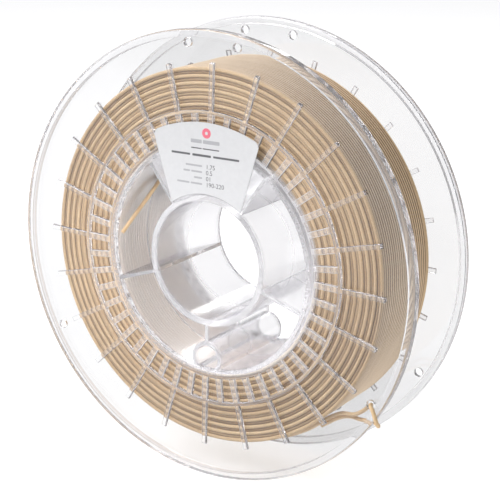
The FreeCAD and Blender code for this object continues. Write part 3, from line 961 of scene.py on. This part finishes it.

# %% [markdown]
# The filament is plastic filled with wood flour: matt, tan, and finely speckled. Its
# tone drifts a little from turn to turn, which a noise stretched round the axis gives:
# it reads only the distance from the axis and the place along it. Little light gets
# down between the turns, so painted shade darkens the colour with depth below the
# nearest side of the winding. The top and lowest layers have shallower painted shade
# in their valleys. The top layer's tones are a little paler, and the lowest layer,
# seen through the drum wall, gets much paler tones as painted light.

# %% Wood-filled filament
VALLEY_SHADE_START = 0.50 * MM
VALLEY_SHADE_FULL = 1.05 * MM
TAN = ((0.63, 0.415, 0.21, 1.0), (0.92, 0.685, 0.41, 1.0))
VALLEY_SHADE_TONE = (0.22, 0.11, 0.04, 1.0)


def wood_finish(name, valley_shade_share, tones=TAN, start=VALLEY_SHADE_START, full=VALLEY_SHADE_FULL):
    """Wood-filled filament, with painted shade by this share in the valleys between turns.
    """
    wood = Finish(name)
    from_axis = away_from_axis(wood)
    from_middle = away_from_middle(wood)
    turn_place = wood.node("ShaderNodeCombineXYZ", (),
                           {"X": from_axis, "Y": from_middle, "Z": 0.0})
    turn_tone = wood.noise(420.0, 1.0, vector=turn_place)
    speckle = wood.noise(3200.0, 3.0, roughness=0.7)
    drift = wood.noise(45.0, 2.0)
    mixed_tone = turn_tone * 0.45 + speckle * 0.35 + drift * 0.2
    stops = ((0.32, tones[0]), (0.68, tones[1]))
    colour = wood.node("ShaderNodeValToRGB", {"stops": stops}, {0: mixed_tone})
    from_side = WOUND_HALF - from_middle
    from_top = WOUND_RADIUS - from_axis
    from_drum = from_axis - DRUM_RADIUS
    nearest = from_side
    for other in (from_top, from_drum):
        nearest = wood.node("ShaderNodeMath", {"operation": "MINIMUM"},
                            {0: nearest, 1: other})
    gap = wood.noise(260.0, 1.0, vector=turn_place)
    # Painted shade: the colour turns dark brown with depth below the winding's nearest
    # side.
    painted_valley_shade = fade(wood, nearest, start, full, 0.0, valley_shade_share) * (0.75 + gap * 0.5)
    shaded = wood.blend(painted_valley_shade, colour, VALLEY_SHADE_TONE)
    return wood.show(wood.node("ShaderNodeBsdfPrincipled", (), {
        "Base Color": shaded,
        "Roughness": 0.42 + speckle * 0.25,
        "IOR": 1.46,
        "Normal": wood.bump(speckle, 0.35, 0.00012),
    }))


wood_wound = wood_finish("wood_filament_wound", 0.85)
wood_top = wood_finish("wood_filament_top", 1.0,
                       ((0.70, 0.49, 0.29, 1.0), (0.96, 0.76, 0.52, 1.0)),
                       start=0.05 * MM, full=0.30 * MM)
# Painted light: the lowest layer, seen through the drum wall, is the same filament given
# much paler tones and lighter painted shade.
wood_inner_lit = wood_finish("wood_filament_inner_lit", 0.5,
                         ((0.86, 0.74, 0.60, 1.0), (0.97, 0.90, 0.80, 1.0)),
                         start=0.1 * MM, full=0.6 * MM)
wood_loose = wood_finish("wood_filament_loose", 0.0)
for piece in (front_turns, rear_turns, filler, last_turn):
    coat(piece, wood_wound)
coat(top_layer, wood_top)
coat(low_layer, wood_inner_lit)
for piece in (outer_end, inner_end):
    coat(piece, wood_loose)
print("wood filament:", len(wood_wound.node_tree.nodes), "nodes")

# %% [markdown]
# The label is coated white paper, with a very faint mottle. The inks are thin and
# slightly uneven where the paper takes them up.

# %% Paper and inks
paper = Finish("label_paper")
mottle = paper.noise(600.0, 4.0)
label_paper = paper.show(paper.node("ShaderNodeBsdfPrincipled", (), {
    "Base Color": paper.blend(mottle, (0.59, 0.59, 0.60, 1.0), (0.66, 0.66, 0.67, 1.0)),
    "Roughness": 0.34 + mottle * 0.16,
    "Normal": paper.bump(mottle, 0.1, 0.0001),
}))
coat(label, label_paper)


def ink(name, thin, thick):
    """A printing ink, mottled between two shades."""
    finish = Finish(name)
    cover = finish.noise(2500.0, 2.0)
    return finish.show(finish.node("ShaderNodeBsdfPrincipled", (), {
        "Base Color": finish.blend(cover, thin, thick),
        "Roughness": 0.4 + cover * 0.15,
    }))


dark_ink = ink("dark_ink", (0.16, 0.16, 0.17, 1.0), (0.07, 0.07, 0.075, 1.0))
grey_ink = ink("grey_ink", (0.46, 0.46, 0.48, 1.0), (0.34, 0.34, 0.36, 1.0))
coral_ink = ink("coral_ink", (0.80, 0.22, 0.24, 1.0), (0.68, 0.10, 0.20, 1.0))
coat(dark_print, dark_ink)
coat(grey_print, grey_ink)
coat(mark, coral_ink)
for piece in numbers:
    coat(piece, dark_ink)

# %% [markdown]
# The studio is a white sweep under soft light. The sky is a little darker overhead
# and at the sides than near the horizon, because clear plastic shows its edges only
# where it bends darker parts of the room into view. A narrow light from the right
# reaches through the core, to the lowest layer behind the drum wall.

# %% Studio
FLOOR_GAP = 0.1 * MM
bpy.ops.object.select_all(action="DESELECT")
bpy.ops.mesh.primitive_plane_add(size=12.0, location=(0, 0, -RIM_RADIUS - FLOOR_GAP))
floor = bpy.context.object
floor.name = "floor"
ground = Finish("floor_white")
dust = ground.noise(3.0, 3.0)
coat(floor, ground.show(ground.node("ShaderNodeBsdfPrincipled", (), {
    "Base Color": ground.blend(dust, (0.48, 0.48, 0.48, 1.0), (0.50, 0.50, 0.50, 1.0)),
    "Roughness": 0.9,
    "Emission Color": (1.0, 1.0, 1.0, 1.0),
    "Emission Strength": 0.69,
})))

world = bpy.data.worlds.new("studio")
bpy.context.scene.world = world
world.use_nodes = True
sky_tree = world.node_tree
background = sky_tree.nodes["Background"]
direction = sky_tree.nodes.new("ShaderNodeTexCoord")
height = sky_tree.nodes.new("ShaderNodeSeparateXYZ")
sky = sky_tree.nodes.new("ShaderNodeValToRGB")
side = sky_tree.nodes.new("ShaderNodeMapRange")
side.inputs["From Min"].default_value = 0.1
side.inputs["From Max"].default_value = 0.75
side.inputs["To Min"].default_value = 0.85
side.inputs["To Max"].default_value = 0.28
sky_tree.links.new(direction.outputs["Generated"], height.inputs[0])
sky_tree.links.new(height.outputs["Z"], sky.inputs[0])
sky_tree.links.new(height.outputs["X"], side.inputs["Value"])
sky_tree.links.new(side.outputs[0], background.inputs["Strength"])
sky_tree.links.new(sky.outputs[0], background.inputs["Color"])
sky.color_ramp.elements[0].position = 0.0
sky.color_ramp.elements[0].color = (1.0, 1.0, 1.0, 1.0)
sky.color_ramp.elements[1].position = 0.95
sky.color_ramp.elements[1].color = (0.25, 0.25, 0.30, 1.0)
between = sky.color_ramp.elements.new(0.5)
between.color = (0.88, 0.88, 0.90, 1.0)


def soft_light(name, place, size, power):
    """A square soft light that faces the spool."""
    aim = (-Vector(place)).to_track_quat("-Z", "Y").to_euler()
    bpy.ops.object.light_add(type="AREA", location=place, rotation=aim)
    lamp = bpy.context.object
    lamp.name = name
    lamp.data.size = size
    lamp.data.energy = power


soft_light("key_light", (-0.7, -0.9, 1.1), 0.7, 14.0)
soft_light("back_light", (-0.5, 0.9, 0.9), 0.6, 6.0)
CORE_LIGHT_PLACE = Vector((0.75, -0.75, 0.25))
CORE_LIGHT_AIM = Vector((-0.031, -0.01, -0.004))
bpy.ops.object.light_add(type="SPOT", location=CORE_LIGHT_PLACE)
core_light = bpy.context.object
core_light.name = "core_light"
core_light.rotation_euler = (
    CORE_LIGHT_AIM - CORE_LIGHT_PLACE).to_track_quat("-Z", "Y").to_euler()
core_light.data.energy = 50.0
core_light.data.spot_size = math.radians(3.1)
core_light.data.spot_blend = 0.4
core_light.data.shadow_soft_size = 0.05
bpy.context.scene.view_settings.view_transform = "Standard"
cycles = bpy.context.scene.cycles
cycles.max_bounces = 40
cycles.glossy_bounces = 32
cycles.transmission_bounces = 40
print("studio ready")
